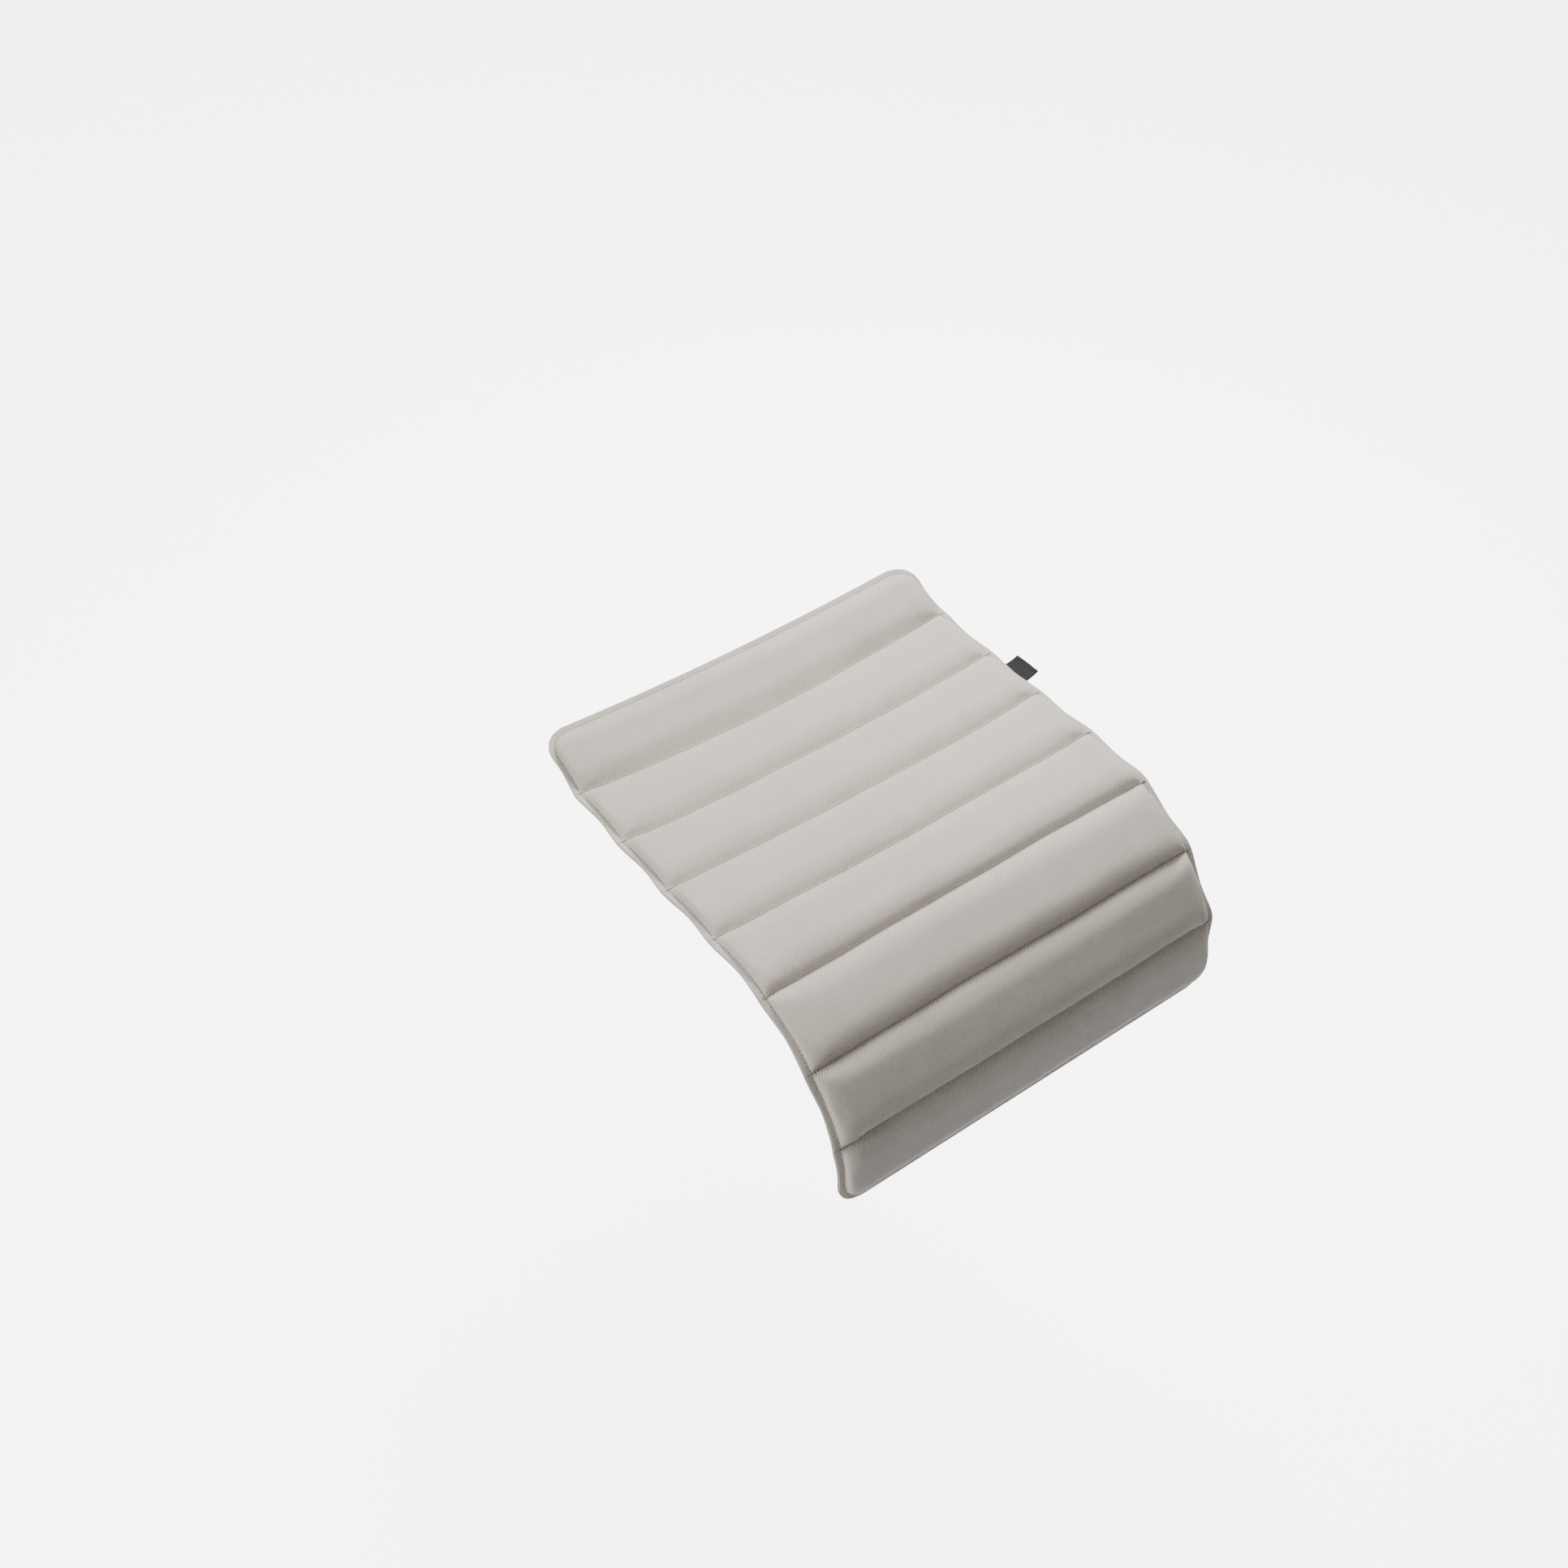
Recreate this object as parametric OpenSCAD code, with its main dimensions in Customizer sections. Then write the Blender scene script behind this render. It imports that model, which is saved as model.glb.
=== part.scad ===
// Quilted chair seat pad: eight foam strips in channels between two cloth covers.
// It has the shape it takes on its seat, which turns up at the back, dips in the
// middle and rolls down in front. The foam keeps each channel flat, so the pad bends
// at its seams. X runs along the quilting seams, +Y points to the chair's back and
// +Z is up. The origin is the middle of the flat face underneath, which rests on
// the seat.

/* [Outline] */
// Width of the pad, along its seams
pad_w = 375; // [300:1:460]
// Radius of the four corners
corner_r = 22; // [16:1:28]
// Back edge to the first seam
rear_len = 60; // [48:1:75]
// Distance from seam to seam
channel_pitch = 63.5; // [50:0.5:77]
// Last seam to the front edge
front_len = 67; // [54:1:82]

/* [Quilting] */
// Height of a channel's crown above its seams
crown_top = 9; // [6:0.5:12]
// Depth of a channel's flat belly below its seams
crown_under = 3; // [1.5:0.25:5]
// Length of the rounded ends of a channel
end_round = 17; // [12:1:22]
// Width of the flat stitched strip between two channels
seam_flat = 2; // [1.5:0.1:3]
// Thickness of the cover cloth
cloth_t = 0.6; // [0.4:0.05:0.75]
// Space between cover and foam
foam_gap = 0.3; // [0.2:0.05:0.6]
// Space between the two covers at a seam
seam_gap = 0.3; // [0.2:0.05:0.6]
// Length of pad that bends just behind a seam, with the rest of each channel flat
bend_len = 12; // [6:1:20]

/* [Hem] */
// Outer edge to the edge stitching
hem_w = 5; // [4:0.25:7]
// How far the turned-in cloth reaches past the edge stitching
turn_in = 4; // [3:0.25:4.5]
// Space between the plies of the hem
ply_gap = 0.05; // [0.02:0.01:0.1]

/* [Thread] */
// Radius of the sewing thread
thread_r = 0.35; // [0.2:0.05:0.5]
// Space between thread and cloth
thread_gap = 0.05; // [0.02:0.01:0.1]

/* [Side label] */
// Width of the folded tape, along the pad's edge
label_w = 28; // [15:0.5:35]
// Length of tape that stands out of the edge
label_out = 14; // [8:0.5:20]
// Thickness of the folded tape
label_t = 0.5; // [0.3:0.05:0.7]
// How far the tape's free end curls up
label_rise = 4; // [0:0.5:8]

/* [Seat underneath] */
// Slope of the seat at the pad's back edge, where it turns up, in degrees
rear_slope = 34; // [15:1:42]
// Radius of the turn at the back
rear_r = 116; // [90:1:150]
// Forward rise of the seat just in front of that turn, in degrees
pan_rise_rear = 1; // [0.5:0.5:3]
// Forward rise of the seat where its front starts to roll down, in degrees
pan_rise_front = 6.5; // [4:0.5:9]
// Length of the seat between the two bends
pan_len = 197; // [160:1:240]
// Radius of the roll at the seat's front
front_r = 132; // [105:1:165]
// Steepest slope of the roll, past which the pad hangs straight, in degrees
front_slope = 98; // [80:1:100]
// Depth of the seat's hollow at the pad's back edge
hollow_rear = 15; // [0:0.5:20]
// Distance from the back edge at which the hollow has faded out
hollow_len = 340; // [250:5:400]

/* [Hidden] */
channels = 8;
rest_channel = 4;
label_channel = 3;
quilt_seams = [1 : channels - 1];

top_cloth = "#cbc6c1";
under_cloth = "#a7a29c";
foam_white = "#f1eee4";
thread_grey = "#9a948d";
label_black = "#1d1d1f";

// Lengths along the pad, from its back edge
pad_l = rear_len + (channels - 2) * channel_pitch + front_len;
field_in = hem_w + seam_flat / 2;

function seam_s(k) = rear_len + (k - 1) * channel_pitch;
function channel_lo(k) = k == 1 ? field_in : seam_s(k - 1) + seam_flat / 2;
function channel_hi(k) = k == channels ? pad_l - field_in : seam_s(k) - seam_flat / 2;

// Heights above the middle of the pad's thickness, for the top half of the hem
tape_gap = 0.05;
turn_lo = label_t / 2 + tape_gap;
turn_hi = turn_lo + cloth_t;
hem_lo = turn_hi + ply_gap;
hem_hi = hem_lo + cloth_t;
seam_n = seam_gap / 2;

// A seam keeps the hem's thickness for hem_hold, then closes over seam_close
hem_hold = 9;
seam_close = 14;

// ---- The line the pad follows, seen from the side ----
// The seat's slope at points along it: it turns evenly at the back and in front
rear_turn = rear_r * (rear_slope + pan_rise_rear) * PI / 180;
front_turn = front_r * (pan_rise_front + front_slope) * PI / 180;
seat_line = [
    [0, rear_slope],
    [rear_turn, -pan_rise_rear],
    [rear_turn + pan_len, -pan_rise_front],
    [rear_turn + pan_len + front_turn, front_slope]
];

// A channel lies at the seat's mean slope under it
slope_samples = 16;
function mean(values) = values * [for (v = values) 1] / len(values);
function channel_start(k) = k == 1 ? 0 : seam_s(k - 1) + seam_flat / 2;
function channel_end(k) = k == channels ? pad_l : seam_s(k) - bend_len;
function channel_slope(k) =
    let (a = channel_start(k), b = channel_end(k))
    mean([for (i = [0 : slope_samples]) lookup(a + (b - a) * i / slope_samples, seat_line)]);

// The pad's slope: even along each channel, and turning from there to the next one
pad_line = [for (k = [1 : channels]) each [
    [channel_start(k), channel_slope(k)],
    [channel_end(k), channel_slope(k)]
]];
function slope(s) = lookup(s, pad_line);

// [y, z] travelled over length t while the slope turns from a to b
function travel(a, b, t) =
    abs(b - a) < 0.001 ? [-t * cos(a), -t * sin(a)]
    : let (r = t * 180 / PI / (b - a)) [-r * (sin(b) - sin(a)), r * (cos(b) - cos(a))];

function line_point(i) =
    i == 0 ? [0, 0]
    : let (from = pad_line[i - 1], to = pad_line[i])
    line_point(i - 1) + travel(from[1], to[1], to[0] - from[0]);
line_points = [for (i = [0 : len(pad_line) - 1]) line_point(i)];
function spine(s) =
    let (i = max(0, len([for (p = pad_line) if (p[0] < s) p]) - 1))
    line_points[i] + travel(pad_line[i][1], slope(s), s - pad_line[i][0]);

// Depth of the hollow across the seat, deepest halfway across
hollow_fade = 1.25;
function hollow(x, s) =
    hollow_rear * pow(max(0, 1 - s / hollow_len), hollow_fade)
    * max(0, 1 - pow(2 * x / pad_w, 2));

// The point that is x across, s from the back edge and n above the middle thickness
function lay(x, s, n) =
    let (p = spine(s), a = slope(s), h = n - hollow(x, s))
    [x, p[0] - h * sin(a), p[1] + h * cos(a)];

// ---- Outline, and the grid of points that covers and foam share ----
straight_w = pad_w / 2 - corner_r;

function half_width(s, inset) =
    let (e = min(s, pad_l - s), r = corner_r - inset)
    e >= corner_r ? pad_w / 2 - inset
    : straight_w + sqrt(max(0, r * r - pow(corner_r - e, 2)));

function clamp(v, lo, hi) = min(max(v, lo), hi);

// Direction out of the outline at a point near it
function outward(x, s) =
    let (v = [x - clamp(x, -straight_w, straight_w), s - clamp(s, corner_r, pad_l - corner_r)])
    v / norm(v);

shoulder = [0, 0.05, 0.14, 0.28];
last_shoulder = len(shoulder) - 1;
crown_at = 0.5;
cols = 11;

function steps(flat) = concat(
    shoulder,
    flat ? [] : [crown_at],
    [for (i = [last_shoulder : -1 : 0]) 1 - shoulder[i]]
);
function rows(k, flat) =
    [for (v = steps(flat)) channel_lo(k) + v * (channel_hi(k) - channel_lo(k))];
function all_rows(flat_rest) =
    [for (k = [1 : channels]) each rows(k, flat_rest && k == rest_channel)];
function columns(s) =
    [for (j = [0 : cols]) half_width(s, field_in) * sin(90 * (2 * j - cols) / cols)];

// ---- Heights of the covers' inner faces ----
function dome(t) = sqrt(1 - pow(1 - clamp(t, 0, 1), 2));
function channel_of(s) =
    len([for (k = quilt_seams) if (s > seam_s(k)) 1]) + 1;
function from_seam(s) =
    let (k = channel_of(s)) max(0, min(s - channel_lo(k), channel_hi(k) - s));
function channel_half(s) =
    let (k = channel_of(s)) (channel_hi(k) - channel_lo(k)) / 2;
function from_side(x, s) = max(0, half_width(s, field_in) - abs(x));
function depth(x, s) = min(from_side(x, s), s - field_in, pad_l - field_in - s);

// Height at a seam, which rises to the hem's plies at the ends of the seam
function base(x, s) =
    hem_lo + (seam_n - hem_lo) * clamp((depth(x, s) - hem_hold) / seam_close, 0, 1);
function top_in(x, s) =
    base(x, s) + crown_top * dome(from_seam(s) / channel_half(s)) * dome(from_side(x, s) / end_round);

// The belly is flat between its shoulders, where the pad lies on the seat
function under_in(x, s) =
    base(x, s) + crown_under * dome(from_seam(s) / (2 * shoulder[last_shoulder] * channel_half(s)))
    * dome(from_side(x, s) / end_round);

// ---- The flat face that rests on the seat, and the origin in its middle ----
rest_rows = rows(rest_channel, true);
rest_x = (pad_w / 2 - field_in) * sin(90 / cols);
rest_n = -(seam_n + crown_under + cloth_t);
rest_mid = (lay(rest_x, rest_rows[last_shoulder], rest_n)
    + lay(rest_x, rest_rows[last_shoulder + 1], rest_n)) / 2;
origin = [0, rest_mid[1], rest_mid[2]];

function place(x, s, n) = lay(x, s, n) - origin;

// ---- Closed solids from grids and loops of points ----
function around(r, c) = concat(
    [for (j = [0 : c - 2]) [0, j]],
    [for (i = [0 : r - 2]) [i, c - 1]],
    [for (j = [c - 1 : -1 : 1]) [r - 1, j]],
    [for (i = [r - 1 : -1 : 1]) [i, 0]]
);
function two(a, b, c, d) = [[a, b, c], [a, c, d]];
function wall(upper, lower) =
    let (n = len(upper))
    [for (m = [0 : n - 1]) let (q = (m + 1) % n) each two(upper[q], upper[m], lower[m], lower[q])];

// A sheet between two grids, whose rims are joined through any loops between them
module sheet(upper, lower, loops = []) {
    r = len(upper);
    c = len(upper[0]);
    rim = around(r, c);
    n = len(rim);
    top = [for (i = [0 : r - 2], j = [0 : c - 2])
        each two(i * c + j, i * c + j + 1, (i + 1) * c + j + 1, (i + 1) * c + j)];
    bottom = [for (i = [0 : r - 2], j = [0 : c - 2]) let (o = r * c)
        each two(o + i * c + j, o + (i + 1) * c + j, o + (i + 1) * c + j + 1, o + i * c + j + 1)];
    rims = concat(
        [[for (p = rim) p[0] * c + p[1]]],
        [for (i = [0 : 1 : len(loops) - 1]) [for (m = [0 : n - 1]) 2 * r * c + i * n + m]],
        [[for (p = rim) r * c + p[0] * c + p[1]]]
    );
    sides = [for (i = [0 : len(rims) - 2]) each wall(rims[i], rims[i + 1])];
    polyhedron(
        points = concat([for (g = upper) each g], [for (g = lower) each g], [for (l = loops) each l]),
        faces = concat(top, bottom, sides)
    );
}

// A bar through a list of rings, closed at its ends or joined into a loop
module bar(rings, loop = false) {
    n = len(rings);
    c = len(rings[0]);
    skin = [for (i = [0 : loop ? n - 1 : n - 2])
        each wall([for (m = [0 : c - 1]) i * c + m], [for (m = [0 : c - 1]) (i + 1) % n * c + m])];
    caps = loop ? [] : [
        [for (m = [0 : c - 1]) m],
        [for (m = [c - 1 : -1 : 0]) (n - 1) * c + m]
    ];
    polyhedron(points = [for (g = rings) each g], faces = concat(skin, caps));
}

// ---- Covers ----
// side is 1 for the top cover and -1 for the bottom one. The cloth turns in at the
// edge, so the hem is four plies thick and the label's tail lies between them.
fold_r = 0.4;
fold_in = cloth_t + fold_r + ply_gap;
hem_profile = [
    [field_in - fold_r, hem_hi],
    [field_in, (turn_lo + hem_hi) / 2],
    [field_in - fold_r, turn_lo],
    [-turn_in, turn_lo],
    [-turn_in, turn_hi],
    [field_in - fold_in, turn_hi],
    [field_in - fold_in, hem_lo]
];

function field(s_rows) = [for (s = s_rows) [for (x = columns(s)) [x, s]]];
function rim_points(grid) = [for (p = around(len(grid), len(grid[0]))) grid[p[0]][p[1]]];
function hem_loop(grid, out, n) =
    [for (p = rim_points(grid)) let (d = outward(p[0], p[1]) * out) place(p[0] + d[0], p[1] + d[1], n)];

module top_cover() {
    grid = field(all_rows(false));
    color(top_cloth) sheet(
        [for (g = grid) [for (p = g) place(p[0], p[1], top_in(p[0], p[1]) + cloth_t)]],
        [for (g = grid) [for (p = g) place(p[0], p[1], top_in(p[0], p[1]))]],
        [for (h = hem_profile) hem_loop(grid, h[0], h[1])]
    );
}

module bottom_cover() {
    grid = field(all_rows(true));
    backwards = [for (i = [len(hem_profile) - 1 : -1 : 0]) hem_profile[i]];
    color(under_cloth) sheet(
        [for (g = grid) [for (p = g) place(p[0], p[1], -under_in(p[0], p[1]))]],
        [for (g = grid) [for (p = g) place(p[0], p[1], -under_in(p[0], p[1]) - cloth_t)]],
        [for (h = backwards) hem_loop(grid, h[0], -h[1])]
    );
}

// ---- Foam ----
// Strip k fills channel k. Its cut edges lie just inside the seams, and the first and
// the last strip stop short of the cloth turned in at the hem.
function in_hem(s) = min(s, pad_l - s) - field_in < turn_in + foam_gap;
function strip_rows(k) =
    let (r = rows(k, false)) [for (i = [1 : len(r) - 2]) if (!in_hem(r[i])) r[i]];
function strip_columns(s) = let (c = columns(s)) [for (j = [1 : cols - 1]) c[j]];

module foam_strip(k) {
    grid = [for (s = strip_rows(k)) [for (x = strip_columns(s)) [x, s]]];
    color(foam_white) sheet(
        [for (g = grid) [for (p = g) place(p[0], p[1], top_in(p[0], p[1]) - foam_gap)]],
        [for (g = grid) [for (p = g) place(p[0], p[1], foam_gap - under_in(p[0], p[1]))]]
    );
}

// ---- Threads ----
sides = 6;
thread_lift = cloth_t + thread_gap + thread_r;
thread_end = 1.5;

// side is 1 for the needle thread on the top and -1 for the bobbin thread below
module quilt_thread(k, side) {
    s = seam_s(k);
    end = half_width(s, field_in) - thread_end;
    stations = concat([-end], strip_columns(s), [end]);
    color(thread_grey) bar([for (x = stations) [for (i = [0 : sides - 1])
        place(
            x,
            s + thread_r * cos(i * 360 / sides),
            side * (base(x, s) + thread_lift) + thread_r * sin(i * 360 / sides)
        )]]);
}

module edge_thread(side) {
    rim = rim_points(field(all_rows(side < 0)));
    n = side * (hem_lo + thread_lift);
    color(thread_grey) bar(
        [for (p = rim) let (d = outward(p[0], p[1])) [for (i = [0 : 3])
            let (out = seam_flat / 2 + thread_r * cos(i * 90))
            place(p[0] + d[0] * out, p[1] + d[1] * out, n + thread_r * sin(i * 90))]],
        loop = true
    );
}

// The seam that joined the two covers before they were turned right side out. It
// lies inside the hem's fold, clear of it all round, and stops at the label.
joining_r = turn_lo - 2 * thread_gap;
joining_in = 2;
joining_clear = 2;

module joining_thread() {
    rim = rim_points(field(all_rows(false)));
    label_mid = (channel_lo(label_channel) + channel_hi(label_channel)) / 2;
    open = label_w / 2 + joining_clear;
    start = [for (m = [0 : len(rim) - 1]) if (rim[m][0] > straight_w && rim[m][1] > label_mid + open) m][0];
    kept = [for (i = [0 : len(rim) - 1]) let (p = rim[(start + i) % len(rim)])
        if (p[0] < straight_w || abs(p[1] - label_mid) > open) p];
    color(thread_grey) bar([for (p = kept) let (d = outward(p[0], p[1])) [for (i = [0 : 3])
        let (out = field_in - joining_in + joining_r * cos(i * 90))
        place(p[0] + d[0] * out, p[1] + d[1] * out, joining_r * sin(i * 90))]]);
}

// ---- Side label ----
// One folded tape: its tail lies between the hem's plies and its fold stands out
label_rows = 5;
label_steps = 6;
tail_clear = 0.5;
label_tail = hem_w - tail_clear;

module side_label() {
    mid = (channel_lo(label_channel) + channel_hi(label_channel)) / 2;
    out = concat([-label_tail, 0], [for (i = [1 : label_steps]) label_out * i / label_steps]);
    function lift(u) = u <= 0 ? 0 : label_rise * pow(u / label_out, 2);
    function run(side) = [for (i = [0 : label_rows - 1])
        let (s = mid + label_w * (i / (label_rows - 1) - 0.5))
        [for (u = out) place(pad_w / 2 + u, s, lift(u) + side * label_t / 2)]];
    color(label_black) sheet(run(1), run(-1));
}

top_cover();
bottom_cover();
for (k = [1 : channels])
    foam_strip(k);
for (k = quilt_seams)
    quilt_thread(k, 1);
for (k = quilt_seams)
    quilt_thread(k, -1);
edge_thread(1);  // edge_needle_thread
edge_thread(-1);  // edge_bobbin_thread
joining_thread();
side_label();
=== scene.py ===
"""The looks of a quilted chair seat pad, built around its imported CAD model.

Everything is worked out on the pad laid flat: x runs along the quilting seams, s from
the back edge to the front one, and n is the height above the middle of the pad. A cloth
simulation puffs the two covers there, and the finished pieces are then laid over the
shape of the seat. All lengths are in metres.
"""

import math

import bmesh
import bpy
import numpy as np
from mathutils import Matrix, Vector


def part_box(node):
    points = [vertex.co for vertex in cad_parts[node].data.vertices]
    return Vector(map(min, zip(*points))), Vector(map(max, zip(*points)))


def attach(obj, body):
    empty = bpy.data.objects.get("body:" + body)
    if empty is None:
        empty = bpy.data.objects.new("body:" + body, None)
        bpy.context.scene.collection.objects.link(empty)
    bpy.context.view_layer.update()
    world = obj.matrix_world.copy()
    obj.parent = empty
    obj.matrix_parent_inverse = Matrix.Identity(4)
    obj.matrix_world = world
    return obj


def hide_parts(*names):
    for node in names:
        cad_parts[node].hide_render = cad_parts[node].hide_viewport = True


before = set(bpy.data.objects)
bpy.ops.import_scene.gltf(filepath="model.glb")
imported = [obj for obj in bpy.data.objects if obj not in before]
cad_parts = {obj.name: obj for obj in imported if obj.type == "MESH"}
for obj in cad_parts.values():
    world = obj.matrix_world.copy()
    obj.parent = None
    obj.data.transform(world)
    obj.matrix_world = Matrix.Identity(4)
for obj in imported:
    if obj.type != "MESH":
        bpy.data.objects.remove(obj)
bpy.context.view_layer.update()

# ---- Sizes that are the same as in part.scad ----
CHANNELS = 8
LABEL_CHANNEL = 3
REST_CHANNEL = 4
CORNER_R = 0.022
REAR_LEN = 0.060
PITCH = 0.0635
FRONT_LEN = 0.067
CROWN_TOP = 0.009
CROWN_UNDER = 0.003
CLOTH_T = 0.0006
FOAM_GAP = 0.0003
SEAM_GAP = 0.0003
HEM_W = 0.005
STITCH_OUT = 0.001
FIELD_IN = HEM_W + STITCH_OUT
TURN_IN = 0.004
PLY_GAP = 0.00005
THREAD_R = 0.00035
LABEL_W = 0.028
LABEL_OUT = 0.014
LABEL_T = 0.0005
LABEL_RISE = 0.004
LABEL_TAIL = 0.0045
HEM_HOLD = 0.009
SEAM_CLOSE = 0.014

REAR_SLOPE = math.radians(34)
PAN_RISE_REAR = math.radians(1)
PAN_RISE_FRONT = math.radians(6.5)
FRONT_SLOPE = math.radians(98)
REAR_R = 0.116
PAN_LEN = 0.197
FRONT_R = 0.132
HOLLOW_REAR = 0.015
HOLLOW_LEN = 0.340
HOLLOW_FADE = 1.25
BEND_LEN = 0.012
SEAM_HALF = 0.001
SLOPE_SAMPLES = 17
CAD_COLUMNS = 11
REST_SHOULDER = 0.28

cover_low, cover_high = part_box("top_cover")
PAD_W = cover_high[0] - cover_low[0]
PAD_L = REAR_LEN + (CHANNELS - 2) * PITCH + FRONT_LEN
STRAIGHT_W = PAD_W / 2 - CORNER_R

# Heights of the hem's plies above the middle of the pad
TURN_LO = LABEL_T / 2 + PLY_GAP
TURN_HI = TURN_LO + CLOTH_T
HEM_LO = TURN_HI + PLY_GAP
HEM_HI = HEM_LO + CLOTH_T
FOLD_R = (HEM_HI - TURN_LO) / 2
SEAM_N = SEAM_GAP / 2 + CLOTH_T

# ---- Shape of a channel: a lower power makes a squarer shoulder ----
SEAM_FLAT = 0.0014  # cloth that a seam holds flat
SEAM_FOOT = 0.0025  # where the cloth rises from it more gently
FOOT_POWER = 0.7
SHOULDER_BACK = 0.012
BACK_POWER = 0.5
SHOULDER_FRONT = 0.020
FRONT_POWER = 0.40
END_ROUND = 0.013  # shoulder at each end of a channel
END_POWER = 0.5
CROWNED = 0.06  # share of the height that is one even crown
OVERHANG = 0.0034  # how far a full channel's end leans out over the hem
OVERHANG_LEN = 0.010
SCALLOP = 0.0015  # how far a full channel draws the hem in
SCALLOP_FADE = 0.018
DIP_END = 0.0022  # where the hem is level again outside its stitching
FOLD_ROOM = 0.0004  # room left inside the hem's fold

# ---- Cloth simulation ----
SIM_FRAMES = 20
SIM_SCALE = 10
START_PUFF = 0.9
MOST_PUFF = 0.0012
TOP_FULLNESS = 1.05
UNDER_FULLNESS = 1.01

# ---- Stitches, and how uneven the sewing is ----
SEAM_DRIFT = 0.0005
SWELL = 0.03
STITCH = 0.0030
STITCH_LEN = 0.0024
LENGTH_SPREAD = 0.06
STITCH_TILT = 0.12
TILT_SPREAD = 0.05
STITCH_DIP = 0.0003  # how far the edge stitching pulls the hem down
STITCH_STRAY = 0.00006
STITCH_BACK = 0.0003  # how far behind the seam's middle the stitches lie
STITCH_POINTS = 7
SEAM_END = 0.0018
LOCK_LEN = 0.010  # double stitching at each end of a quilting seam
LOCK_OFF = 0.0006
THREAD_SIDES = 6
THREAD_TIP = 0.55  # thickness at a stitch's ends, as a share of its middle
THREAD_RISE = 0.75
THREAD_SINK = 1.9
JOINING_R = 0.0002
JOINING_IN = 0.002
JOINING_LEN = 0.9 * STITCH
JOINING_CLEAR = 0.002

# ---- Side label ----
LABEL_PLY = 0.0002
LABEL_BULB = 0.0004  # radius of its fold
LABEL_TWIST = 0.25
LABEL_WAVE = 0.0005
LABEL_TAPER = 0.02

# ---- Weave ----
RIB = 0.00168
RIB_ANGLE = math.radians(46)
FLOAT_PITCH = 0.75 * RIB
SHADE_REACH = 0.0007
PUCKER_REACH = 0.0020

# ---- View and light ----
CAMERA_LENS = 44.370
CAMERA_AT = (-0.6529, -0.7789, 1.1285)
CAMERA_TURN = math.radians(35.463)
CAMERA_DOWN = math.radians(47.10)
FLOOR_Z = -0.450
FLOOR_HALF = 6
FLOOR_GLOW = 5.0
SKY_DARK = 0.16
SKY_BRIGHT = 0.42
SKY_FROM = (0.0, 0.45, 0.85)
LAMPS = [
    ("key", (0.74, 0.55, 0.92), 0.7, 37, (1, 0.99, 0.97)),
    ("back", (0.3, 1.75, 1.85), 1.2, 17, (1, 0.99, 0.97)),
    ("front", (-0.4, -2.2, 0.7), 1.0, 1.5, (1, 0.99, 0.97)),
    ("side", (-1.75, 0.1, 0.65), 0.8, 34, (1, 0.99, 0.97)),
]


# ---- The line the pad follows on the seat ----
def seam_s(k):
    """Place of quilting seam k."""
    return REAR_LEN + (k - 1) * PITCH


SEAT_BENDS = np.cumsum([0, REAR_R * (REAR_SLOPE + PAN_RISE_REAR), PAN_LEN,
                        FRONT_R * (PAN_RISE_FRONT + FRONT_SLOPE)])
SEAT_SLOPES = [REAR_SLOPE, -PAN_RISE_REAR, -PAN_RISE_FRONT, FRONT_SLOPE]


def pad_bends():
    """Where the pad's slope changes and what it is there: it bends just behind its seams."""
    knots, slopes = [], []
    for k in range(1, CHANNELS + 1):
        start = 0 if k == 1 else seam_s(k - 1) + SEAM_HALF
        end = PAD_L if k == CHANNELS else seam_s(k) - BEND_LEN
        under = np.interp(np.linspace(start, end, SLOPE_SAMPLES), SEAT_BENDS, SEAT_SLOPES)
        knots += [start, end]
        slopes += [under.mean()] * 2
    return knots, slopes


KNOTS, KNOT_SLOPES = pad_bends()


def slope(s):
    """Slope of the pad at s, positive where it goes down towards the front."""
    return np.interp(s, KNOTS, KNOT_SLOPES)


def running(values, steps):
    """The sum of values over steps, by the trapezium rule, starting from 0."""
    return np.concatenate([[0], np.cumsum((values[1:] + values[:-1]) / 2 * steps)])


LINE_S = np.linspace(0, PAD_L, 5001)
LINE_Y = -running(np.cos(slope(LINE_S)), np.diff(LINE_S))
LINE_Z = -running(np.sin(slope(LINE_S)), np.diff(LINE_S))


def hollow(x, s):
    """Depth of the seat's hollow."""
    along = np.maximum(0, 1 - s / HOLLOW_LEN) ** HOLLOW_FADE
    return HOLLOW_REAR * along * np.maximum(0, 1 - (2 * x / PAD_W) ** 2)


def lay_raw(points):
    """Points [x, s, n] of the flat pad, laid on the seat."""
    x, s, n = points[..., 0], points[..., 1], points[..., 2]
    a = slope(s)
    h = n - hollow(x, s)
    y = np.interp(s, LINE_S, LINE_Y) - h * np.sin(a)
    z = np.interp(s, LINE_S, LINE_Z) + h * np.cos(a)
    return np.stack([x, y, z], -1)


def channel_ends(k, flat):
    """Where channel k starts and ends, between seams that are flat wide."""
    low = FIELD_IN if k == 1 else seam_s(k - 1) + flat / 2
    high = PAD_L - FIELD_IN if k == CHANNELS else seam_s(k) - flat / 2
    return low, high


def rest_point():
    """The middle of the flat face underneath, which is the origin."""
    low, high = channel_ends(REST_CHANNEL, 2 * SEAM_HALF)
    x = (PAD_W / 2 - FIELD_IN) * math.sin(math.pi / 2 / CAD_COLUMNS)
    n = -(SEAM_N + CROWN_UNDER)
    face = [[x, low + part * (high - low), n] for part in (REST_SHOULDER, 1 - REST_SHOULDER)]
    middle = lay_raw(np.array(face)).mean(axis=0)
    middle[0] = 0
    return middle


ORIGIN = rest_point()


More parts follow.
